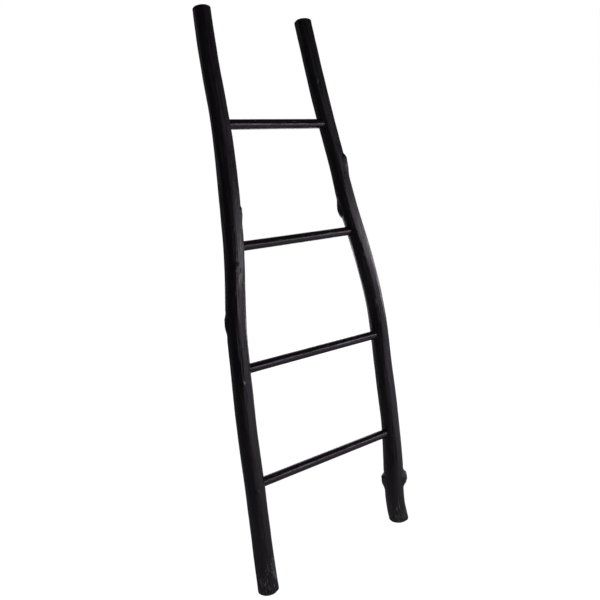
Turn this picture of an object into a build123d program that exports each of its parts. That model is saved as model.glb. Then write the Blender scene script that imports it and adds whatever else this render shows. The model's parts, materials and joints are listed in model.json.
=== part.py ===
from build123d import *
from math import cos, radians, sin, sqrt, tan
import os

# A leaning ladder: two crooked, peeled branches as rails, four round dowels glued into blind sockets in them,
# and a brad driven through each dowel end from the wall side. Millimetres and degrees.
#
# X runs along the rungs, to the right as seen from the front. +Y is the wall side, Z is up, and the ladder leans
# back onto the wall. A "height" is measured up the ladder's own long axis, from the middle of the feet. "Across"
# is along X, and "back" is square to the long axis, towards the wall.

LENGTH = 1510
LEAN = 14.85

# Each rung's height at the left rail and at the right rail. The sockets are drilled by eye, so no two are level.
RUNG_HEIGHTS = [(293, 285), (601, 597), (918, 921), (1228, 1232)]
RUNG_RADIUS = 13
RUNG_END_EASE = 1.5
RUNG_PAST_RAIL_CENTRE = 8
GLUE_LINE = 0.1
SOCKET_CUT_LENGTH = 60

BRAD_LENGTH = 40
BRAD_RADIUS = 0.9
BRAD_HEAD_RADIUS = 1.75
BRAD_HEAD_THICKNESS = 1
BRAD_TIP_LENGTH = 3
BRAD_FROM_RUNG_END = 11
BRAD_SUNK = 1
BRAD_HOLE_CLEARANCE = 0.05
BRAD_RECESS_CLEARANCE = 0.15

END_EASE = 2.5

# Each rail is a smooth skin over round sections. Its centre line is a spline through these stations: height,
# across, back and radius.
SECTION_COUNT = 31
LEFT_STATIONS = [
    (0, -240, 0, 27.5),
    (148, -236.5, 1, 26),
    (290, -231, 1, 26),
    (448, -226.5, 3, 25.8),
    (604, -218.5, 2, 26),
    (708, -212, 0, 25.6),
    (768, -206, -2, 26),
    (828, -197.5, -4, 25.2),
    (918, -185.5, -3, 26),
    (1018, -176.5, 0, 26.4),
    (1118, -169.5, 3, 25.6),
    (1232, -166.5, 2, 24.2),
    (1368, -171.5, -1, 23.2),
    (LENGTH, -170, 0, 22.2),
]
RIGHT_STATIONS = [
    (0, 242.5, 0, 29.5),
    (93, 236, -1, 29),
    (176, 244.5, -2, 30.2),
    (290, 255.5, -1, 27),
    (448, 261, 3, 27.5),
    (604, 262.5, 2, 27),
    (708, 256, -1, 26.4),
    (798, 241, -4, 27),
    (918, 219, -3, 26.4),
    (1008, 202, 0, 26.6),
    (1108, 189.5, 1, 24),
    (1232, 169.5, 2, 24.2),
    (1368, 146.5, -2, 23.6),
    (LENGTH, 131.3, 0, 23),
]

# The stumps of shed side branches on each rail: height, degrees round from the front towards +X, how far the
# stump reaches out of the rail, its radius, and the degrees that it climbs.
LEFT_STUMPS = [
    (278, -14, 2, 7, 10),
    (565, -16, 2, 7, 10),
    (728, -119, 3.5, 10, 25),
    (866, -16, 2, 6.5, 10),
    (1008, 61, 2, 9, 20),
    (1298, 150, 3, 8, 20),
]
RIGHT_STUMPS = [
    (140, -130, 7.5, 9, 5),
    (132, 50, 10.5, 12, 12),
    (128, 165, 5, 9, 5),
    (508, 140, 3, 8, 20),
    (972, -130, 6, 10, 30),
    (1127, 50, 7, 10, 25),
]
STUMP_SKIRT = 1.5
STUMP_SHOULDER = 0.82

slope_back = sin(radians(LEAN))
slope_up = cos(radians(LEAN))

left_foot_radius = LEFT_STATIONS[0][3]
right_foot_radius = RIGHT_STATIONS[0][3]
top_radius = max(LEFT_STATIONS[-1][3], RIGHT_STATIONS[-1][3])

# The feet are cut square to the rails, so the ladder stands on their eased rear edges. The thinner foot is cut
# that much longer, so that both reach the floor.
foot_drop = (right_foot_radius - END_EASE) * slope_back + END_EASE * (1 - slope_up)
thin_foot_extra = (right_foot_radius - left_foot_radius) * tan(radians(LEAN))
LEFT_STATIONS[0] = (-thin_foot_extra,) + LEFT_STATIONS[0][1:]

left_edge = LEFT_STATIONS[0][1] - left_foot_radius
right_edge = max(across + radius for height, across, back, radius in RIGHT_STATIONS)
front_edge = END_EASE * (slope_back - 1) - (right_foot_radius - END_EASE) * slope_up
back_edge = (LENGTH - END_EASE) * slope_back + (top_radius - END_EASE) * slope_up + END_EASE

# The row's origin is on the floor, under the middle of the ladder's box.
ladder = Plane(
    origin=(-(left_edge + right_edge) / 2, -(front_edge + back_edge) / 2, foot_drop),
    x_dir=(1, 0, 0),
    z_dir=(0, slope_back, slope_up),
)
driving_direction = -ladder.y_dir

STATIONS = {"left": LEFT_STATIONS, "right": RIGHT_STATIONS}
STUMPS = {"left": LEFT_STUMPS, "right": RIGHT_STUMPS}


def rail_at(side, height):
    """A rail's across, back and radius at a height, between the two stations next to it."""
    for low, high in zip(STATIONS[side], STATIONS[side][1:]):
        if height <= high[0]:
            share = (height - low[0]) / (high[0] - low[0])
            break
    return [a + share * (b - a) for a, b in zip(low[1:], high[1:])]


def rung_ends(left_height, right_height):
    """Each end of a rung, inside its rail, with the direction from there along the rung."""
    left = ladder.from_local_coords((rail_at("left", left_height)[0], 0, left_height))
    right = ladder.from_local_coords((rail_at("right", right_height)[0], 0, right_height))
    along = (right - left).normalized()
    return {
        "left": (left - along * RUNG_PAST_RAIL_CENTRE, along),
        "right": (right + along * RUNG_PAST_RAIL_CENTRE, -along),
    }


def brad_head(side, end, inward):
    """Where the outer face of a brad's head is centred, sunk below the rail's back."""
    across, back, height = ladder.to_local_coords(end + inward * BRAD_FROM_RUNG_END)
    rail_across, rail_back, radius = rail_at(side, height)
    surface = rail_back + sqrt(radius**2 - (across - rail_across) ** 2)
    return ladder.from_local_coords((across, surface - BRAD_SUNK, height))


def cut_brad_hole(side, end, inward):
    """Cut one brad's shank hole, and the recess over its head, in the part being built."""
    head = brad_head(side, end, inward)
    with BuildSketch(Plane(origin=head, z_dir=driving_direction)) as shank:
        Circle(BRAD_RADIUS + BRAD_HOLE_CLEARANCE)
    extrude(shank.sketch, amount=BRAD_LENGTH + BRAD_HOLE_CLEARANCE, mode=Mode.SUBTRACT)
    recess_floor = head + driving_direction * BRAD_HEAD_THICKNESS
    with BuildSketch(Plane(origin=recess_floor, z_dir=-driving_direction)) as recess:
        Circle(BRAD_HEAD_RADIUS + BRAD_RECESS_CLEARANCE)
    extrude(recess.sketch, amount=2 * (BRAD_HEAD_THICKNESS + BRAD_SUNK), mode=Mode.SUBTRACT)


def add_stump(side, height, turn, reach, radius, climb):
    """Fuse the rounded stump of a side branch to the rail being built, growing from the rail's centre."""
    across, back, rail_radius = rail_at(side, height)
    outward = ladder.x_dir * sin(radians(turn)) - ladder.y_dir * cos(radians(turn))
    direction = outward * cos(radians(climb)) + ladder.z_dir * sin(radians(climb))
    origin = ladder.from_local_coords((across, back, height))
    end = (rail_radius + reach) / cos(radians(climb))
    with BuildSketch(Plane(origin=origin, x_dir=direction, z_dir=outward.cross(ladder.z_dir))) as profile:
        with BuildLine():
            start = (0, radius * STUMP_SKIRT)
            shoulder = (end * STUMP_SHOULDER, radius)
            flank = Spline(start, shoulder, (end, 0), tangents=[(1, 0), (0, -1)])
            Polyline(flank @ 1, (0, 0), flank @ 0)
        make_face()
    revolve(profile.sketch, axis=Axis(origin, direction))


pieces = {}

for side, stations in STATIONS.items():
    centre_line = Spline(*[(across, back, height) for height, across, back, radius in stations])
    with BuildPart() as rail:
        for index in range(SECTION_COUNT):
            centre = centre_line @ (index / (SECTION_COUNT - 1))
            with BuildSketch(ladder.offset(centre.Z)):
                with Locations((centre.X, centre.Y)):
                    Circle(rail_at(side, centre.Z)[2])
        loft()
        sawn_ends = rail.faces().filter_by(GeomType.PLANE)
        fillet(sawn_ends.edges(), END_EASE)
        for stump in STUMPS[side]:
            add_stump(side, *stump)
        for heights in RUNG_HEIGHTS:
            end, inward = rung_ends(*heights)[side]
            with BuildSketch(Plane(origin=end - inward * GLUE_LINE, z_dir=inward)):
                Circle(RUNG_RADIUS + GLUE_LINE)
            extrude(amount=SOCKET_CUT_LENGTH, mode=Mode.SUBTRACT)
            cut_brad_hole(side, end, inward)
    pieces[f"{side}_rail"] = rail

for number, heights in enumerate(RUNG_HEIGHTS, start=1):
    ends = rung_ends(*heights)
    left_end, along = ends["left"]
    with BuildPart() as rung:
        with BuildSketch(Plane(origin=left_end, z_dir=along)):
            Circle(RUNG_RADIUS)
        extrude(amount=(ends["right"][0] - left_end).length)
        fillet(rung.edges().filter_by(GeomType.CIRCLE), RUNG_END_EASE)
        for side, (end, inward) in ends.items():
            cut_brad_hole(side, end, inward)
    pieces[f"rung_{number}"] = rung

    for side, (end, inward) in ends.items():
        head = brad_head(side, end, inward)
        with BuildPart() as brad:
            with BuildSketch(Plane(origin=head, x_dir=driving_direction, z_dir=ladder.z_dir)):
                with BuildLine():
                    Polyline(
                        (0, 0),
                        (0, BRAD_HEAD_RADIUS),
                        (BRAD_HEAD_THICKNESS, BRAD_HEAD_RADIUS),
                        (BRAD_HEAD_THICKNESS, BRAD_RADIUS),
                        (BRAD_LENGTH - BRAD_TIP_LENGTH, BRAD_RADIUS),
                        (BRAD_LENGTH, 0),
                        close=True,
                    )
                make_face()
            revolve(axis=Axis(head, driving_direction))
        pieces[f"brad_{number}_{side}"] = brad

os.makedirs("parts", exist_ok=True)
for node, piece in pieces.items():
    piece.part.label = node
    export_step(piece.part, f"parts/{node}.step")

whole = Compound(children=[piece.part for piece in pieces.values()])
box = whole.bounding_box(optimal=True)
print("box", box.min, box.max)
for side, stations in STATIONS.items():
    print(side, "foot", ladder.from_local_coords((stations[0][1], stations[0][2], stations[0][0])))
    print(side, "top", ladder.from_local_coords((stations[-1][1], stations[-1][2], stations[-1][0])))
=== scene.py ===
import json
import math
import bmesh
import bpy
import numpy as np
from mathutils import Euler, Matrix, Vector, noise
from mathutils.bvhtree import BVHTree


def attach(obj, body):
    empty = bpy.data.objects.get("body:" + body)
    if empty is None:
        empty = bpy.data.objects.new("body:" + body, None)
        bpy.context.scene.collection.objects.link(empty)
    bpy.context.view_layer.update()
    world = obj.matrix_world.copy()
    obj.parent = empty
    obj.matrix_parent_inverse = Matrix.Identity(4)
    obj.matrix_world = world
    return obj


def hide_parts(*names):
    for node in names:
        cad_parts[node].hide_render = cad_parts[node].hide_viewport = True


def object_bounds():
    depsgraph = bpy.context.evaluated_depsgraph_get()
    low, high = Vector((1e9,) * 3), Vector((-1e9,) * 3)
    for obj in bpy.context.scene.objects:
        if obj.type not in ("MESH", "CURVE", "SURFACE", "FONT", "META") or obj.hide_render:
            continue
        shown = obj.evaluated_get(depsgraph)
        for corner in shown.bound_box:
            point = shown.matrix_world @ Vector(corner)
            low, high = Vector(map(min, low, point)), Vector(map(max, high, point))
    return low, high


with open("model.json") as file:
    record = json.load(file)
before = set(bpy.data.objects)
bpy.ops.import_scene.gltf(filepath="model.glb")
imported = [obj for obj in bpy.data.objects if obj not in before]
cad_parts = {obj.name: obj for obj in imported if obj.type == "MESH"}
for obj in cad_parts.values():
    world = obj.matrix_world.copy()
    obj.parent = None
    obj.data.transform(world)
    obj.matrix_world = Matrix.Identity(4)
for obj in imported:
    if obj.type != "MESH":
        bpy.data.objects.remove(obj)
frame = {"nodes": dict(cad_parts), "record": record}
cad_low, cad_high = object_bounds()

# A leaning ladder of two crooked, peeled branches and four dowels, stained near-black.
#
# A place on the ladder is given by its height up the ladder's long axis from the feet, by how far it is
# across (along X) and by how far it is back (square to the long axis, towards the wall). A turn is an angle
# round a rail, from the front towards +X.

MM = 0.001

MOUNTS = {mount["name"]: mount for mount in frame["record"]["mounts"]}
RISE = -Vector(MOUNTS["right_foot"]["axis"]).normalized()
ACROSS = Vector((1, 0, 0))
BACK = RISE.cross(ACROSS)
FEET = Vector(MOUNTS["right_foot"]["pos_m"]) * Vector((0, 1, 1))
RAILS = {"left": frame["nodes"]["left_rail"], "right": frame["nodes"]["right_rail"]}
RUNGS = sorted(name for name in frame["nodes"] if name.startswith("rung_"))


def on_ladder(across, back, height):
    """A world place from a place on the ladder."""
    return FEET + ACROSS * across + BACK * back + RISE * height


def ladder_coords(point):
    """The across, back and height of a world place."""
    offset = point - FEET
    return offset.dot(ACROSS), offset.dot(BACK), offset.dot(RISE)


# ---------------------------------------------------------------------------------------------------------
# Camera and light
# ---------------------------------------------------------------------------------------------------------

# The camera looks down and is turned from +Y towards +X, in degrees. Its place is in metres, the rest in mm.
CAMERA_PLACE = (-0.7877, -1.1363, 1.1859)
CAMERA_DOWN = 18.30
CAMERA_TURN = 34.03
CAMERA_LENS = 31.2
CAMERA_SENSOR = 36

# Soft boxes, each facing the middle of the ladder: name, azimuth round from the front towards +X, elevation,
# distance, width and height, power and colour. Degrees, metres and watts.
SOFT_BOXES = [
    ("front_window", 28, 14, 2.2, (2.3, 0.42), 15, (0.95, 0.90, 1.0)),
    ("side_window", 84, 2, 2.4, (0.9, 0.8), 9, (0.93, 0.89, 1.0)),
    ("low_bounce", 30, -9, 2.4, (2.4, 0.6), 3.9, (0.86, 0.82, 1.0)),
    ("back_left", -142, 14, 2.6, (1.4, 1.8), 1.3, (0.97, 0.94, 1.0)),
    ("back_right", 143, 14, 2.6, (1.4, 1.8), 5, (0.97, 0.92, 1.0)),
    ("back_low", 158, -20, 1.6, (1.8, 0.4), 7, (0.96, 0.93, 1.0)),
]
ROOM_COLOUR = (0.92, 0.84, 1.0, 1)
ROOM_STRENGTH = 0.05

# The floor is matt paper, with a glow that only the camera sees.
FLOOR_HALF_WIDTH = 9
PAPER_COLOUR = (0.86, 0.86, 0.87, 1)
GLOW_STRENGTH = 1.24
GLOW_SHARE = 0.8
WHITE = (1, 1, 1, 1)


def make_camera():
    """The scene's camera, level from side to side."""
    camera = bpy.data.objects.new("camera", bpy.data.cameras.new("camera"))
    camera.data.lens = CAMERA_LENS
    camera.data.sensor_width = CAMERA_SENSOR
    camera.location = CAMERA_PLACE
    camera.rotation_euler = Euler((math.radians(90 - CAMERA_DOWN), 0, math.radians(-CAMERA_TURN)))
    bpy.context.scene.collection.objects.link(camera)
    bpy.context.scene.camera = camera


def make_light(name, azimuth, elevation, distance, size, power, colour):
    """One of the soft boxes."""
    data = bpy.data.lights.new(name, "AREA")
    data.shape = "RECTANGLE"
    data.size, data.size_y = size
    data.energy = power
    data.color = colour
    light = bpy.data.objects.new(name, data)
    turn, climb = math.radians(azimuth), math.radians(elevation)
    outward = Vector((math.sin(turn) * math.cos(climb), -math.cos(turn) * math.cos(climb), math.sin(climb)))
    light.location = (cad_low + cad_high) / 2 + outward * distance
    light.rotation_euler = outward.to_track_quat("Z", "Y").to_euler()
    bpy.context.scene.collection.objects.link(light)


def make_world():
    """White where the camera looks past the ladder, and a dim room for every other ray."""
    world = bpy.data.worlds.new("studio")
    bpy.context.scene.world = world
    world.use_nodes = True
    nodes, links = world.node_tree.nodes, world.node_tree.links
    nodes.clear()
    path = nodes.new("ShaderNodeLightPath")
    seen = nodes.new("ShaderNodeBackground")
    seen.inputs["Color"].default_value = WHITE
    room = nodes.new("ShaderNodeBackground")
    room.inputs["Color"].default_value = ROOM_COLOUR
    room.inputs["Strength"].default_value = ROOM_STRENGTH
    mix = nodes.new("ShaderNodeMixShader")
    out = nodes.new("ShaderNodeOutputWorld")
    links.new(path.outputs["Is Camera Ray"], mix.inputs["Fac"])
    links.new(room.outputs[0], mix.inputs[1])
    links.new(seen.outputs[0], mix.inputs[2])
    links.new(mix.outputs[0], out.inputs[0])


def make_floor():
    """A wide flat sheet of pale paper under the ladder."""
    mesh = bpy.data.meshes.new("floor")
    bm = bmesh.new()
    bmesh.ops.create_grid(bm, x_segments=4, y_segments=4, size=FLOOR_HALF_WIDTH)
    bm.to_mesh(mesh)
    bm.free()
    floor = bpy.data.objects.new("floor", mesh)
    bpy.context.scene.collection.objects.link(floor)
    material = bpy.data.materials.new("studio_floor")
    material.use_nodes = True
    nodes, links = material.node_tree.nodes, material.node_tree.links
    nodes.clear()
    paper = nodes.new("ShaderNodeBsdfDiffuse")
    paper.inputs["Color"].default_value = PAPER_COLOUR
    glow = nodes.new("ShaderNodeEmission")
    glow.inputs["Color"].default_value = WHITE
    glow.inputs["Strength"].default_value = GLOW_STRENGTH
    path = nodes.new("ShaderNodeLightPath")
    lift = nodes.new("ShaderNodeMath")
    lift.operation = "MULTIPLY"
    lift.inputs[1].default_value = GLOW_SHARE
    mix = nodes.new("ShaderNodeMixShader")
    out = nodes.new("ShaderNodeOutputMaterial")
    links.new(path.outputs["Is Camera Ray"], lift.inputs[0])
    links.new(lift.outputs[0], mix.inputs["Fac"])
    links.new(paper.outputs[0], mix.inputs[1])
    links.new(glow.outputs[0], mix.inputs[2])
    links.new(mix.outputs[0], out.inputs["Surface"])
    mesh.materials.append(material)


# ---------------------------------------------------------------------------------------------------------
# The rungs' axes, and the rails' centre lines, read off the CAD nodes
# ---------------------------------------------------------------------------------------------------------

# How much of a rung is taken as its end, and as the part that its radius is measured on.
RUNG_END_BAND = 0.8 * MM
RUNG_RADIUS_BAND = 3 * MM


def rung_axis(node):
    """The two end centres and the radius of a rung, left end first."""
    places = np.array([vertex.co[:] for vertex in node.data.vertices])
    ends = []
    for edge in (places[:, 0].min(), places[:, 0].max()):
        end = places[abs(places[:, 0] - edge) < RUNG_END_BAND]
        ends.append(Vector((end.min(0) + end.max(0)) / 2))
    first = places[abs(places[:, 0] - places[:, 0].min()) < RUNG_RADIUS_BAND]
    radius = (first[:, 1].max() - first[:, 1].min()) / 2
    return ends[0], ends[1], radius


AXES = {name: rung_axis(frame["nodes"][name]) for name in RUNGS}

# A rail's centre line is read every LINE_STEP up it, by rays that start REACH_OUT away, and is then smoothed
# over a number of steps. A hit that is nearer to the centre than LEAST_RADIUS is inside a socket.
LINE_STEP = 5 * MM
LINE_RAYS = 48
LINE_MARGIN = 4 * MM
LINE_SMOOTHING = 4
LINE_WINDOW = 12
FOOT_BAND = 1 * MM
LEAST_RADIUS = 17.5 * MM
REACH_OUT = 60 * MM
FIT_TOLERANCES = (3 * MM, 1 * MM, 0.6 * MM)


def fit_circle(points):
    """The centre and radius of the circle through most of the points, without those that stand off it."""
    for tolerance in FIT_TOLERANCES:
        rows = np.c_[2 * points, np.ones(len(points))]
        a, b, c = np.linalg.lstsq(rows, (points**2).sum(1), rcond=None)[0]
        radius = math.sqrt(c + a * a + b * b)
        off = abs(np.hypot(points[:, 0] - a, points[:, 1] - b) - radius)
        points = points[off < max(tolerance, np.median(off) * 1.5)]
    return a, b, radius


def read_line(node):
    """Rows of height, across, back and radius up a rail, with the wood's own lumps left out."""
    tree = BVHTree.FromObject(node, bpy.context.evaluated_depsgraph_get())
    places = np.array([ladder_coords(vertex.co) for vertex in node.data.vertices])
    low, high = places[:, 2].min(), places[:, 2].max()
    foot = places[places[:, 2] < low + FOOT_BAND]
    guess = (foot.min(0) + foot.max(0))[:2] / 2
    rows = []
    for height in np.arange(low + LINE_MARGIN, high - LINE_MARGIN, LINE_STEP):
        hits = []
        for ray in range(LINE_RAYS):
            turn = math.tau * ray / LINE_RAYS
            way = ACROSS * math.sin(turn) - BACK * math.cos(turn)
            hit = tree.ray_cast(on_ladder(*guess, height) + way * REACH_OUT, -way, REACH_OUT)[0]
            if hit:
                hits.append(ladder_coords(hit)[:2])
        hits = np.array(hits)
        across, back, radius = fit_circle(hits[np.hypot(*(hits - guess).T) > LEAST_RADIUS])
        guess = np.array((across, back))
        rows.append((height, across, back, radius))
    rows = np.array(rows)
    kernel = np.exp(-0.5 * (np.arange(-LINE_WINDOW, LINE_WINDOW + 1) / LINE_SMOOTHING) ** 2)
    for column in (1, 2, 3):
        padded = np.pad(rows[:, column], LINE_WINDOW, mode="reflect", reflect_type="odd")
        rows[:, column] = np.convolve(padded, kernel / kernel.sum(), "valid")
    return rows, low, high


# ---------------------------------------------------------------------------------------------------------
# Rails
# ---------------------------------------------------------------------------------------------------------

# Where side branches grew. Each is a height and a turn, how far it stands out, its radius, how much longer
# it is below and above than it is wide, and how sharply its edge falls away. Millimetres and degrees.
KNOTS = {
    "left": [
        dict(height=278, turn=-14, reach=1.4, radius=6, below=1.7, above=1.4, edge=4),
        dict(height=565, turn=-16, reach=1.6, radius=6, below=1.8, above=1.4, edge=4),
        dict(height=730, turn=-119, reach=3.6, radius=11, below=2.0, above=1.3, edge=4),
        dict(height=866, turn=-14, reach=1.3, radius=8, below=1.6, above=1.3, edge=3),
        dict(height=1008, turn=61, reach=2.6, radius=9, below=2.4, above=1.0, edge=5),
        dict(height=1298, turn=150, reach=3.0, radius=8, below=1.8, above=1.2, edge=5),
        dict(height=388, turn=120, reach=2.2, radius=7, below=1.8, above=1.3, edge=4),
        dict(height=1128, turn=-165, reach=2.4, radius=7, below=1.8, above=1.2, edge=4),
    ],
    "right": [
        dict(height=141, turn=-130, reach=7.8, radius=10, below=2.6, above=0.9, edge=5),
        dict(height=138, turn=50, reach=11.6, radius=13, below=1.6, above=1.3, edge=5),
        dict(height=130, turn=165, reach=5.0, radius=9, below=1.6, above=1.0, edge=5),
        dict(height=508, turn=140, reach=3.0, radius=8, below=1.8, above=1.2, edge=5),
        dict(height=976, turn=-130, reach=6.5, radius=11, below=1.0, above=2.4, edge=4),
        dict(height=1130, turn=50, reach=5.5, radius=11, below=3.0, above=0.9, edge=4),
        dict(height=698, turn=-40, reach=1.4, radius=6, below=1.7, above=1.3, edge=4),
        dict(height=828, turn=-175, reach=2.4, radius=7, below=1.8, above=1.2, edge=4),
        dict(height=1348, turn=-35, reach=1.2, radius=5, below=1.7, above=1.3, edge=4),
    ],
}

# Drying checks that start at a sawn end: the end (0 at the foot, 1 at the top), its turn in degrees, and how
# deep it is in millimetres.
CHECKS = {
    "left": [(0, 28, 1.6), (0, 164, 1.1), (0, 272, 2.2), (1, 70, 2.4), (1, 203, 1.2), (1, 307, 1.6)],
    "right": [(0, 58, 2.2), (0, 208, 1.4), (0, 323, 1.2), (1, 18, 1.4), (1, 148, 2.2), (1, 256, 1.1)],
}

# Places where the stain is rubbed or flaked: height, turn, length and width (millimetres up the rail and
# degrees round it), and how much.
RUBS = {
    "left": [
        (62, 40, 60, 50, 3.6),
        (862, -10, 26, 22, 3.4),
        (1006, 62, 30, 30, 3.2),
        (905, 80, 40, 60, 1.2),
    ],
    "right": [
        (1122, 64, 40, 36, 4.0),
        (146, 50, 34, 40, 2.6),
        (144, -128, 30, 40, 2.2),
        (60, 45, 70, 60, 1.8),
    ],
}

# The noise that a branch's surface is made of. A layer is its strength in millimetres, its waves round the
# branch, its rate up it and a shift. The whole stands a little off the round, to make up for its hollows.
LUMPS = [(0.9, 0.8, 6, 0), (0.65, 1.7, 9, 5), (0.65, 2.6, 3.5, 9)]
RIDGES = [(0.55, 4.5, 8, 20), (0.38, 10, 14, 31)]
SWELL = 0.45
STROKE_DEPTH = 0.6
STROKE_WAVES = 3.2
STROKE_RATE = 16
STROKE_EDGE = 0.5

# How wide a drying check is from its middle to where it is half filled, on the sawn end and on the side.
CHECK_WIDTH_ON_END = 0.55 * MM
CHECK_WIDTH_ON_SIDE = 0.6 * MM

# Where each rail starts in the noise that shapes it.
SEEDS = {"left": 3.7, "right": 41.3}

COARSER = 1
RAIL_SIDES = int(156 / COARSER)
RING_STEP = 3.2 * MM * COARSER
RING_STEP_AT_KNOT = 1.5 * MM * COARSER
END_EASE = 2.6 * MM
EASE_RINGS = 6
CAP_RINGS = 14

# How many of its own radii a knot reaches along the rail, and how far the grain turns from foot to top.
KNOT_REACH = 9
SPIRAL = 0.35

# A socket is drilled from the rung's end to past the rail's surface. Its torn mouth lies beyond its floor.
SOCKET_SLACK = 0.15 * MM
SOCKET_DRILL = 70 * MM
SOCKET_FLOOR = 10 * MM
MOUTH_WIDTH = 4 * MM
MOUTH_TEAR = 0.35 * MM

# The stain is worn at the foot, fully at one height and not at all above another.
FOOT_WEAR = 0.9
FOOT_WEAR_TOP = 150 * MM
FOOT_WEAR_FULL = 10 * MM


def smooth_step(low, high, value):
    """0 at low, 1 at high, an even curve between them, and level beyond them."""
    share = min(max((value - low) / (high - low), 0), 1)
    return share * share * (3 - 2 * share)


class Rail:
    """A crooked branch: its centre line from the CAD node, and its lumps, flutes, knots and sawn ends."""

    def __init__(self, side):
        self.side = side
        self.seed = SEEDS[side]
        self.rows, self.low, self.high = read_line(RAILS[side])
        self.knots = KNOTS[side]
        self.checks = [(end, math.radians(turn), depth) for end, turn, depth in CHECKS[side]]

    def section(self, height):
        """The across, back and radius of the round that the branch is nearest to at a height."""
        return [float(np.interp(height, self.rows[:, 0], self.rows[:, column])) for column in (1, 2, 3)]

    def place(self, turn, height, distance):
        """The world place at a distance from the centre line."""
        across, back, _ = self.section(height)
        return on_ladder(across + distance * math.sin(turn), back - distance * math.cos(turn), height)

    def locate(self, point):
        """The turn, height and distance from the centre line of a world place."""
        across, back, height = ladder_coords(point)
        centre_across, centre_back, _ = self.section(height)
        x, y = across - centre_across, back - centre_back
        return math.atan2(x, -y), height, math.hypot(x, y)

    def near_knots(self, turn, height):
        """Each knot near a place, with how far round and up the place is from it, in the knot's radii."""
        radius = self.section(height)[2]
        for knot in self.knots:
            size = knot["radius"] * MM
            along = (height - knot["height"] * MM) / size
            if abs(along) > KNOT_REACH:
                continue
            swing = (turn - math.radians(knot["turn"]) + math.pi) % math.tau - math.pi
            yield knot, swing * radius / size, along

    def relief(self, turn, height):
        """How far the bark-free surface stands off the round, in metres, and how much is knot and ridge."""
        spiral = turn + SPIRAL * height / (self.high - self.low)
        x, y = math.cos(spiral), math.sin(spiral)

        def layer(waves, rate, shift):
            return noise.noise(Vector((x * waves, y * waves, height * rate + shift + self.seed)))

        stand = sum(strength * layer(*where) for strength, *where in LUMPS) + SWELL
        ridges = sum(strength * layer(*where) for strength, *where in RIDGES)
        cell = Vector((x * STROKE_WAVES, y * STROKE_WAVES, height * STROKE_RATE + self.seed))
        nearest, second = noise.voronoi(cell)[0][:2]
        strokes = STROKE_DEPTH * min(second - nearest, STROKE_EDGE)
        knotty = 0
        for knot, round_off, along in self.near_knots(turn, height):
            stretch = knot["above"] if along > 0 else knot["below"]
            off = math.hypot(round_off, along / stretch)
            reach = knot["reach"]
            ragged = 1 + 0.18 * layer(7, 120, 50)
            # The knot itself, the groove round it, and the waves of grain outside that.
            stand += reach * ragged / (1 + (off / 1.05) ** knot["edge"])
            stand -= min(0.2 * reach, 0.8) * math.exp(-(((off - 1.6) / 0.4) ** 2))
            stand += 0.11 * math.cos(math.tau * off / 0.45) * math.exp(-(((off - 1.9) / 0.7) ** 2))
            knotty = max(knotty, 1 - smooth_step(0.9, 2.3, off))
        return (stand + ridges + strokes) * MM, knotty, ridges / 0.4 + strokes

    def grain(self, turn, height, distance):
        """Where a place would lie if the branch were straight, with the grain bent round its knots."""
        shift = 0
        for knot, round_off, along in self.near_knots(turn, height):
            off = max(round_off**2 + (along / 1.8) ** 2, 0.4)
            shift -= 0.9 * round_off / (off + 0.6) * knot["radius"] * MM
        radius = self.section(height)[2]
        spiral = turn + shift / radius + SPIRAL * height / (self.high - self.low)
        return Vector((math.cos(spiral) * distance, math.sin(spiral) * distance, height))

    def mouth(self, point):
        """1 at the edge of a rung's socket on this rail, falling to 0 a little way off."""
        near = 0
        for left, right, radius in AXES.values():
            start, other = (left, right) if self.side == "left" else (right, left)
            way = (other - start).normalized()
            offset = point - start
            if offset.dot(way) < SOCKET_FLOOR or offset.dot(way) > SOCKET_DRILL:
                continue
            gap = (offset - way * offset.dot(way)).length - radius - SOCKET_SLACK
            near = max(near, 1 - smooth_step(0, MOUTH_WIDTH, abs(gap)))
        return near

    def wear(self, turn, height):
        """How scuffed the stain is: most in the rubbed places, then near the foot."""
        worn = FOOT_WEAR * smooth_step(FOOT_WEAR_TOP, FOOT_WEAR_FULL, height)
        for rub_height, rub_turn, length, width, amount in RUBS[self.side]:
            swing = (turn - math.radians(rub_turn) + math.pi) % math.tau - math.pi
            off = math.hypot(swing / math.radians(width), (height - rub_height * MM) / (length * MM))
            worn = max(worn, amount * smooth_step(1.0, 0.4, off))
        return worn

    def heights(self):
        """The rings' heights: a rounded edge at each end, and closer rings at the knots."""
        ease = [END_EASE * (1 - math.cos(math.pi / 2 * k / EASE_RINGS)) for k in range(EASE_RINGS + 1)]
        rings = [self.low + step for step in ease]
        last = self.high - END_EASE
        while True:
            gap = min(abs(rings[-1] - knot["height"] * MM) / (knot["radius"] * MM) for knot in self.knots)
            step = RING_STEP_AT_KNOT + (RING_STEP - RING_STEP_AT_KNOT) * smooth_step(1.5, 4, gap)
            if rings[-1] + 1.5 * step > last:
                break
            rings.append(rings[-1] + step)
        return rings + [self.high - step for step in reversed(ease)]

    def end_cut(self, turn, share, end):
        """How far a sawn end dips in, in metres, at a share of the way out from its middle."""
        x, y = share * math.sin(turn), share * math.cos(turn)
        rings = 0.10 * math.sin(share * 46 + 2.5 * noise.noise(Vector((x * 2, y * 2, self.seed + end))))
        saw = 0.12 * math.sin((x * 0.9 + y * 0.45) * 70 + self.seed) * smooth_step(0, 0.4, share)
        dip = 0.35 + rings + saw + 0.3 * noise.noise(Vector((x * 3, y * 3, self.seed + 7 + end)))
        for at_end, crack_turn, depth in self.checks:
            if at_end != end:
                continue
            swing = (turn - crack_turn + math.pi) % math.tau - math.pi
            width = swing * share * self.rows[0, 3] / CHECK_WIDTH_ON_END
            dip += depth * math.exp(-(width**2)) * smooth_step(0.04, 0.3, share)
        return dip * MM

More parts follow.
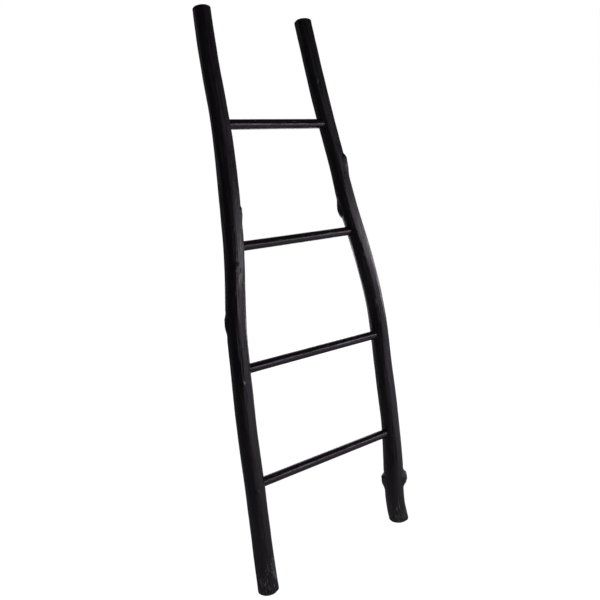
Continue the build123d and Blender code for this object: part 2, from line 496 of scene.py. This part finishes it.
    def check_depth(self, turn, height):
        """How deep a drying check that runs in from an end is here, in metres."""
        depth = 0
        for end, crack_turn, dip in self.checks:
            run = height - self.low if end == 0 else self.high - height
            length = (14 + 9 * dip) * MM
            if run > length:
                continue
            wander = 0.05 * noise.noise(Vector((run * 90, crack_turn, self.seed)))
            swing = (turn - crack_turn - wander + math.pi) % math.tau - math.pi
            width = swing * self.rows[0, 3] / CHECK_WIDTH_ON_SIDE
            depth = max(depth, 0.55 * dip * (1 - run / length) * math.exp(-(width**2)))
        return depth * MM

    def shape(self, bm):
        """Turn a cylinder of unit radius and height, ringed and capped, into this branch."""
        rings = self.heights()
        ease = [END_EASE * (1 - math.sin(math.pi / 2 * k / EASE_RINGS)) for k in range(EASE_RINGS + 1)]
        for vertex in bm.verts:
            x, y, z = vertex.co
            share = math.hypot(x, y)
            turn = math.atan2(x, -y)
            ring = round((z + 0.5) * (len(rings) - 1))
            from_end = min(ring, len(rings) - 1 - ring)
            height = rings[ring]
            rise = self.relief(turn, height)[0] - self.check_depth(turn, height)
            distance = self.section(height)[2] + rise
            point = self.place(turn, height, distance)
            distance += self.mouth(point) * MOUTH_TEAR * (0.4 + noise.noise(point * 900))
            if from_end <= EASE_RINGS:
                distance -= ease[from_end]
            if from_end == 0:
                end = 0 if ring == 0 else 1
                dip = self.end_cut(turn, share, end) * smooth_step(1.0, 0.9, share)
                height += dip if end == 0 else -dip
            vertex.co = self.place(turn, height, distance * share)


def ringed_cylinder(bm, sides, rings, cap_rings):
    """A cylinder of unit radius and height about Z, with evenly spaced rings up it and on its caps."""
    bmesh.ops.create_cone(bm, segments=sides, radius1=1, radius2=1, depth=1, cap_ends=True)
    upright = [edge for edge in bm.edges if abs(edge.verts[0].co.z - edge.verts[1].co.z) > 0.5]
    caps = [face for face in bm.faces if len(face.verts) == sides]
    bmesh.ops.subdivide_edges(bm, edges=upright, cuts=rings - 2, use_grid_fill=True)
    for cap in caps:
        for _ in range(cap_rings):
            bmesh.ops.inset_region(bm, faces=[cap], thickness=1 / (cap_rings + 1), use_even_offset=True)
        bmesh.ops.poke(bm, faces=[cap])


def finished(bm, name):
    """A new object of a finished closed shape, with its faces turned outwards."""
    if bm.calc_volume(signed=True) < 0:
        bmesh.ops.reverse_faces(bm, faces=bm.faces)
    mesh = bpy.data.meshes.new(name)
    bm.to_mesh(mesh)
    bm.free()
    piece = bpy.data.objects.new(name, mesh)
    bpy.context.scene.collection.objects.link(piece)
    return piece


def cylinder_between(bm, start, end, radius, sides):
    """Add a plain closed cylinder from one place to another."""
    made = bmesh.ops.create_cone(
        bm, segments=sides, radius1=radius, radius2=radius, depth=(end - start).length, cap_ends=True
    )
    turn = (end - start).to_track_quat("Z", "Y").to_matrix()
    bmesh.ops.rotate(bm, verts=made["verts"], cent=(0, 0, 0), matrix=turn)
    bmesh.ops.translate(bm, verts=made["verts"], vec=(start + end) / 2)


# The holes for the brads. A head's recess runs from outside the rail to just past the head.
BRAD_HOLE_RADIUS = 1.9 * MM
SHANK_HOLE_RADIUS = 0.95 * MM
RECESS_BEFORE_HEAD = 8 * MM
RECESS_PAST_HEAD = 1.02 * MM
SHANK_HOLE_START = 0.9 * MM
SOCKET_SIDES = 72
RECESS_SIDES = 24
SHANK_SIDES = 16
SHARP_ANGLE = 50


def brad_ends(node):
    """The head's outer centre and the tip of a brad, which is driven from the back."""
    places = np.array([ladder_coords(vertex.co) for vertex in node.data.vertices])
    low, high = places.min(0), places.max(0)
    across, height = (low[0] + high[0]) / 2, (low[2] + high[2]) / 2
    return on_ladder(across, high[1], height), on_ladder(across, low[1], height)


def bore(piece, drills):
    """Cut round holes through a piece: each drill is a start, an end, a radius and its number of sides."""
    bm = bmesh.new()
    for start, end, radius, sides in drills:
        cylinder_between(bm, start, end, radius, sides)
    cutter = finished(bm, piece.name + "_drills")
    cut = piece.modifiers.new("bore", "BOOLEAN")
    cut.operation = "DIFFERENCE"
    cut.solver = "MANIFOLD"
    cut.object = cutter
    bored = bpy.data.meshes.new_from_object(piece.evaluated_get(bpy.context.evaluated_depsgraph_get()))
    piece.modifiers.clear()
    piece.data = bored
    piece.data.materials.clear()
    bpy.data.objects.remove(cutter)


def mark(piece, measure):
    """Store what the finish reads: grain coordinates, wear, and marks.

    The four marks are how much of a place is knot, ridge, socket mouth and end grain.
    """
    mesh = piece.data
    mesh.attributes.new("grain", "FLOAT_VECTOR", "POINT")
    mesh.attributes.new("marks", "FLOAT_COLOR", "POINT")
    mesh.attributes.new("wear", "FLOAT", "POINT")
    lines, colours, wear = [], [], []
    for vertex in mesh.vertices:
        line, colour, worn = measure(vertex.co)
        lines.extend(line)
        colours.extend(colour)
        wear.append(worn)
    mesh.attributes["grain"].data.foreach_set("vector", lines)
    mesh.attributes["marks"].data.foreach_set("color", colours)
    mesh.attributes["wear"].data.foreach_set("value", wear)
    mesh.polygons.foreach_set("use_smooth", [True] * len(mesh.polygons))
    mesh.set_sharp_from_angle(angle=math.radians(SHARP_ANGLE))


# How far round a sawn end's edge its raw look reaches.
SAWN_EDGE = 0.2 * MM
RAIL_END_MARK = 1.6 * MM
RUNG_END_MARK = 1.2 * MM


def make_rail(side, material):
    """A branch in place of a rail's CAD node, with its sockets and brad holes bored and its marks stored."""
    rail = Rail(side)
    bm = bmesh.new()
    ringed_cylinder(bm, RAIL_SIDES, len(rail.heights()), CAP_RINGS)
    rail.shape(bm)
    piece = finished(bm, side + "_rail_wood")
    drills = []
    for name, (left, right, radius) in AXES.items():
        start, other = (left, right) if side == "left" else (right, left)
        way = (other - start).normalized()
        mouth = start + way * SOCKET_DRILL
        drills.append((start - way * SOCKET_SLACK, mouth, radius + SOCKET_SLACK, SOCKET_SIDES))
        number = name.split("_")[1]
        head, tip = brad_ends(frame["nodes"][f"brad_{number}_{side}"])
        drive = (tip - head).normalized()
        recess = (head - drive * RECESS_BEFORE_HEAD, head + drive * RECESS_PAST_HEAD)
        drills.append((*recess, BRAD_HOLE_RADIUS, RECESS_SIDES))
        drills.append((head + drive * SHANK_HOLE_START, tip, SHANK_HOLE_RADIUS, SHANK_SIDES))
    bore(piece, drills)

    def measure(point):
        turn, height, distance = rail.locate(point)
        _, knotty, ridge = rail.relief(turn, height)
        from_end = min(height - rail.low, rail.high - height)
        end = 1 - smooth_step(SAWN_EDGE, RAIL_END_MARK, from_end)
        marks = (knotty, 0.5 + 0.5 * ridge, rail.mouth(point), end)
        return rail.grain(turn, height, distance), marks, rail.wear(turn, height)

    mark(piece, measure)
    piece.data.materials.append(material)
    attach(piece, "root")
    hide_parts(side + "_rail")


# ---------------------------------------------------------------------------------------------------------
# Rungs
# ---------------------------------------------------------------------------------------------------------

# The edge of a rung's end is rounded a little. The stain on the rungs is worn alike all over.
RUNG_SIDES = 96
RUNG_RING_STEP = 3 * MM
RUNG_CAP_RINGS = 6
RUNG_END_ROUNDING = 0.6 * MM
RUNG_WEAR = 0.1
ON_THE_END = 1e-6


def make_rung(name, material):
    """A machine-rounded dowel, hand-sanded: nearly true, with flats, a slight wave and fine ripples."""
    left, right, radius = AXES[name]
    length = (right - left).length
    along = (right - left).normalized()
    up = (RISE - along * RISE.dot(along)).normalized()
    back = up.cross(along)
    number = int(name.split("_")[1])
    seed = 11.0 * number
    rings = int(length / RUNG_RING_STEP)

    def relief(turn, run):
        x, y = math.cos(turn), math.sin(turn)
        wave = 0.14 * noise.noise(Vector((x * 0.8, y * 0.8, run * 9 + seed)))
        flat = 0.10 * noise.noise(Vector((x * 2.2, y * 2.2, run * 5 + seed + 4)))
        line = 0.05 * noise.noise(Vector((x * 7, y * 7, run * 12 + seed + 8)))
        return (wave + flat + line - 0.05) * MM

    def place(turn, run, distance):
        return left + along * run + back * distance * math.cos(turn) + up * distance * math.sin(turn)

    bm = bmesh.new()
    ringed_cylinder(bm, RUNG_SIDES, rings, RUNG_CAP_RINGS)
    for vertex in bm.verts:
        x, y, z = vertex.co
        share, turn = math.hypot(x, y), math.atan2(y, x)
        run = (z + 0.5) * length
        distance = radius + relief(turn, run)
        if run < ON_THE_END or run > length - ON_THE_END:
            distance -= RUNG_END_ROUNDING
        vertex.co = place(turn, run, distance * share)
    piece = finished(bm, name + "_dowel")

    drills = []
    for side in RAILS:
        head, tip = brad_ends(frame["nodes"][f"brad_{number}_{side}"])
        drills.append((head, tip, SHANK_HOLE_RADIUS, SHANK_SIDES))
    bore(piece, drills)

    def measure(point):
        offset = point - left
        run = offset.dot(along)
        x, y = offset.dot(back), offset.dot(up)
        ridge = relief(math.atan2(y, x), run) / (0.2 * MM)
        end = 1 - smooth_step(SAWN_EDGE, RUNG_END_MARK, min(run, length - run))
        return (x, y, run + seed), (0, 0.5 + 0.5 * ridge, 0, end), RUNG_WEAR

    mark(piece, measure)
    piece.data.materials.append(material)
    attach(piece, "root")
    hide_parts(name)


# ---------------------------------------------------------------------------------------------------------
# Finishes
# ---------------------------------------------------------------------------------------------------------

# The colours of the stained wood: the stain where it is thin and thick, a dense fibre, a knot, a ridge
# lightened both by rubbed stain and by a painted highlight, the torn edge of a socket, sawn end grain,
# and bare scuffed wood.
STAIN_THIN = (0.0042, 0.0032, 0.0038, 1)
STAIN_THICK = (0.0086, 0.0066, 0.0072, 1)
DENSE_FIBRE = (0.0135, 0.0105, 0.0110, 1)
KNOT_BLACK = (0.0035, 0.0032, 0.0034, 1)
# A painted highlight on the proud ridges, mixed with the colour of stain rubbed thin there.
RIDGE_RUB_AND_PAINTED_HIGHLIGHT = (0.030, 0.026, 0.023, 1)
TORN_EDGE = (0.022, 0.020, 0.020, 1)
SAWN_END = (0.012, 0.0105, 0.0095, 1)
SCUFFED_WOOD = (0.25, 0.24, 0.235, 1)
WOOD_IOR = 1.5
FIBRE_BUMP = {"Strength": 0.9, "Distance": 0.0003}

# The colours of a brad's head: bare steel, rust, and the stain over them.
BARE_STEEL = (0.16, 0.15, 0.14, 1)
RUST = (0.07, 0.035, 0.02, 1)
STAINED_STEEL = (0.010, 0.0095, 0.0095, 1)
STEEL_BUMP = {"Strength": 0.5, "Distance": 0.00008}


class Tree:
    """Short calls for building a node tree. A socket, a number or a tuple may be given for any input."""

    def __init__(self, tree):
        self.tree = tree

    def node(self, kind, inputs=(), output=0, **settings):
        node = self.tree.nodes.new(kind)
        for name, value in settings.items():
            setattr(node, name, value)
        for name, value in dict(inputs).items():
            self.feed(node.inputs[name], value)
        return node.outputs[output]

    def feed(self, socket, value):
        if isinstance(value, bpy.types.NodeSocket):
            self.tree.links.new(value, socket)
        else:
            socket.default_value = value

    def math(self, operation, a, b=0.0, clamp=False):
        return self.node("ShaderNodeMath", {0: a, 1: b}, operation=operation, use_clamp=clamp)

    def scaled(self, vector, scale):
        return self.node("ShaderNodeVectorMath", {0: vector, 1: scale}, operation="MULTIPLY")

    def noise(self, vector, scale, detail=2.0, roughness=0.5, distortion=0.0):
        inputs = {"Vector": vector, "Scale": scale, "Detail": detail, "Roughness": roughness}
        return self.node("ShaderNodeTexNoise", {**inputs, "Distortion": distortion})

    def between(self, value, low, high, to_low=0.0, to_high=1.0):
        """Map a value from low..high to to_low..to_high along an even curve, clamped."""
        inputs = {"Value": value, "From Min": low, "From Max": high, "To Min": to_low, "To Max": to_high}
        return self.node("ShaderNodeMapRange", inputs, interpolation_type="SMOOTHSTEP")

    def mix(self, share, a, b):
        node = self.tree.nodes.new("ShaderNodeMix")
        node.data_type = "RGBA"
        for socket, value in ((node.inputs[0], share), (node.inputs[6], a), (node.inputs[7], b)):
            self.feed(socket, value)
        return node.outputs[2]


def new_group(name, inputs, outputs):
    """A node group with named inputs and outputs, its tree, and its two end nodes."""
    group = bpy.data.node_groups.new(name, "ShaderNodeTree")
    for socket, kind in inputs:
        group.interface.new_socket(socket, in_out="INPUT", socket_type="NodeSocket" + kind)
    for socket, kind in outputs:
        group.interface.new_socket(socket, in_out="OUTPUT", socket_type="NodeSocket" + kind)
    return group, Tree(group), group.nodes.new("NodeGroupInput"), group.nodes.new("NodeGroupOutput")


def make_fibre_group():
    """Wood fibre that runs along the grain: a height, and a streak mask that varies from line to line."""
    inputs = [("Grain", "Vector"), ("Fineness", "Float"), ("Stretch", "Float")]
    outputs = [("Height", "Float"), ("Streak", "Float"), ("Patch", "Float")]
    group, tree, start, end = new_group("wood_fibre", inputs, outputs)
    squeeze = tree.node("ShaderNodeCombineXYZ", {0: 1.0, 1: 1.0, 2: start.outputs["Stretch"]})
    line = tree.scaled(start.outputs["Grain"], squeeze)
    fineness = start.outputs["Fineness"]
    fine = tree.noise(line, fineness, 4.0, 0.6, 0.3)
    coarse = tree.noise(line, tree.math("MULTIPLY", fineness, 0.28), 3.0, 0.55, 0.4)
    broad = tree.scaled(start.outputs["Grain"], (1, 1, 0.3))
    patch = tree.noise(broad, tree.math("MULTIPLY", fineness, 0.045), 4.0, 0.6)
    pores = tree.node(
        "ShaderNodeTexVoronoi", {"Vector": line, "Scale": tree.math("MULTIPLY", fineness, 0.8)}, feature="F1"
    )
    pits = tree.between(pores, 0.05, 0.28, -0.7, 0.0)
    height = tree.math("ADD", tree.math("MULTIPLY", fine, 0.6), tree.math("MULTIPLY", coarse, 1.25))
    tree.feed(end.inputs["Height"], tree.math("ADD", height, pits))
    lines = tree.math("ADD", coarse, tree.math("MULTIPLY", fine, 0.5))
    tree.feed(end.inputs["Streak"], tree.between(lines, 0.55, 0.95))
    tree.feed(end.inputs["Patch"], tree.between(patch, 0.36, 0.66))
    return group


def make_scuff_group():
    """Light rubs and scratches: sparse clusters, mostly on what stands proud; the rub along proud ridges is
    partly stain rubbed thin and partly a painted highlight.
    """
    inputs = [("Grain", "Vector"), ("Proud", "Float"), ("Amount", "Float")]
    outputs = [("Scuff", "Float"), ("RubAndHighlight", "Float")]
    group, tree, start, end = new_group("scuffs", inputs, outputs)
    place = start.outputs["Grain"]
    cluster = tree.between(tree.noise(tree.scaled(place, (1, 1, 0.4)), 34.0, 3.0), 0.46, 0.60)
    slant = {"Rotation": (0.5, 0.3, 0.2), "Scale": (1, 1, 0.16)}
    slanted = tree.node("ShaderNodeMapping", {"Vector": place, **slant})
    nick = tree.between(tree.noise(slanted, 300.0, 2.0, 0.6), 0.56, 0.64)
    speck = tree.between(tree.noise(place, 420.0, 2.0), 0.62, 0.68)
    bare = tree.between(start.outputs["Amount"], 2.2, 3.4)
    marks = tree.math("MULTIPLY", tree.math("MAXIMUM", nick, speck), tree.math("MAXIMUM", cluster, bare))
    tree.feed(end.inputs["Scuff"], tree.math("MULTIPLY", marks, start.outputs["Amount"], clamp=True))
    proud = tree.between(start.outputs["Proud"], 0.55, 0.95)
    # The rub on proud ridges: stain rubbed thin there, and a painted highlight along them.
    worn = tree.math("MULTIPLY", proud, tree.between(tree.noise(place, 60.0, 3.0), 0.42, 0.62))
    tree.feed(end.inputs["RubAndHighlight"], worn)
    return group


def use_group(tree, group, **inputs):
    """Place a node group, feed its named inputs, and give its outputs."""
    node = tree.tree.nodes.new("ShaderNodeGroup")
    node.node_tree = group
    for name, value in inputs.items():
        tree.feed(node.inputs[name], value)
    return node.outputs


def new_material(name):
    """A material with only a Principled shader in it."""
    material = bpy.data.materials.new(name)
    material.use_nodes = True
    material.node_tree.nodes.clear()
    tree = Tree(material.node_tree)
    shader = material.node_tree.nodes.new("ShaderNodeBsdfPrincipled")
    out = material.node_tree.nodes.new("ShaderNodeOutputMaterial")
    tree.feed(out.inputs["Surface"], shader.outputs[0])
    return material, tree, shader.inputs


def stained_wood(name, fibre, scuffs, fineness, stretch, amount, shine, uneven):
    """Wood under a thin near-black stain that fills its pores, with a satin shine along the grain.

    The fibre has a fineness per metre and a stretch along the grain. The amount is how much of the stored
    wear shows. The shine is the roughness where the stain is smoothest, and uneven is how much it varies.
    """
    material, tree, shader = new_material(name)
    grain = tree.node("ShaderNodeAttribute", attribute_name="grain", output=1)
    marks = tree.node("ShaderNodeAttribute", attribute_name="marks", output=0)
    split = tree.tree.nodes.new("ShaderNodeSeparateColor")
    tree.feed(split.inputs[0], marks)
    knot, ridge, mouth = split.outputs[0], split.outputs[1], split.outputs[2]
    end = tree.node("ShaderNodeAttribute", attribute_name="marks", output=3)
    wood = use_group(tree, fibre, Grain=grain, Fineness=fineness, Stretch=stretch)
    wear = tree.node("ShaderNodeAttribute", attribute_name="wear", output=2)
    rough = use_group(tree, scuffs, Grain=grain, Proud=ridge, Amount=tree.math("MULTIPLY", wear, amount))

    stain = tree.mix(wood["Patch"], STAIN_THIN, STAIN_THICK)
    streaky = tree.mix(tree.math("MULTIPLY", wood["Streak"], 0.55), stain, DENSE_FIBRE)
    knots = tree.mix(tree.math("MULTIPLY", knot, 0.5), streaky, KNOT_BLACK)
    # Lighter on the proud ridges: rubbed stain, and a painted ridge highlight.
    rubbed_and_highlit = tree.mix(tree.math("MULTIPLY", rough["RubAndHighlight"], 0.35), knots, RIDGE_RUB_AND_PAINTED_HIGHLIGHT)
    torn = tree.mix(tree.math("MULTIPLY", mouth, 0.4), rubbed_and_highlit, TORN_EDGE)
    sawn = tree.mix(tree.math("MULTIPLY", end, 0.5), torn, SAWN_END)
    tree.feed(shader["Base Color"], tree.mix(rough["Scuff"], sawn, SCUFFED_WOOD))

    dull = tree.math("ADD", shine, tree.math("MULTIPLY", wood["Streak"], 0.20 * uneven))
    patchy = tree.math("ADD", dull, tree.math("MULTIPLY", wood["Patch"], 0.13 * uneven))
    polished = tree.math("SUBTRACT", patchy, tree.math("MULTIPLY", rough["RubAndHighlight"], 0.08))
    dusty = tree.math("ADD", polished, tree.math("MULTIPLY", tree.math("MAXIMUM", mouth, end), 0.18))
    scuffed = tree.math("MULTIPLY", rough["Scuff"], 0.25)
    tree.feed(shader["Roughness"], tree.math("ADD", dusty, scuffed, clamp=True))

    height = tree.math("SUBTRACT", wood["Height"], tree.math("MULTIPLY", rough["Scuff"], 0.5))
    bump = tree.node("ShaderNodeBump", {**FIBRE_BUMP, "Height": height})
    tree.feed(shader["Normal"], bump)
    shader["IOR"].default_value = WOOD_IOR
    return material


def brad_steel():
    """The head of a brad, stained over with the wood and rubbed back to dull steel in places."""
    material, tree, shader = new_material("brad_steel")
    place = tree.node("ShaderNodeTexCoord", output=3)
    blotch = tree.between(tree.noise(place, 900.0, 4.0, 0.6), 0.42, 0.6)
    rust = tree.between(tree.noise(place, 2400.0, 3.0), 0.55, 0.7)
    metal = tree.mix(rust, BARE_STEEL, RUST)
    tree.feed(shader["Base Color"], tree.mix(blotch, STAINED_STEEL, metal))
    tree.feed(shader["Metallic"], tree.math("MULTIPLY", blotch, 0.85))
    tree.feed(shader["Roughness"], tree.between(tree.noise(place, 1500.0, 2.0), 0.3, 0.7, 0.38, 0.6))
    bump = tree.node("ShaderNodeBump", {**STEEL_BUMP, "Height": blotch})
    tree.feed(shader["Normal"], bump)
    return material


# ---------------------------------------------------------------------------------------------------------
# The scene
# ---------------------------------------------------------------------------------------------------------

bpy.context.scene.view_settings.view_transform = "Standard"
make_camera()
make_world()
for soft_box in SOFT_BOXES:
    make_light(*soft_box)
make_floor()

fibre_group = make_fibre_group()
scuff_group = make_scuff_group()
branch_finish = stained_wood(
    "branch_stain",
    fibre_group,
    scuff_group,
    fineness=520.0,
    stretch=0.05,
    amount=1.0,
    shine=0.20,
    uneven=1.0,
)
dowel_finish = stained_wood(
    "dowel_stain",
    fibre_group,
    scuff_group,
    fineness=640.0,
    stretch=0.035,
    amount=0.5,
    shine=0.13,
    uneven=0.6,
)
steel_finish = brad_steel()

for side in RAILS:
    make_rail(side, branch_finish)
for name in RUNGS:
    make_rung(name, dowel_finish)
for name, node in frame["nodes"].items():
    if name.startswith("brad_"):
        node.data.materials.clear()
        node.data.materials.append(steel_finish)
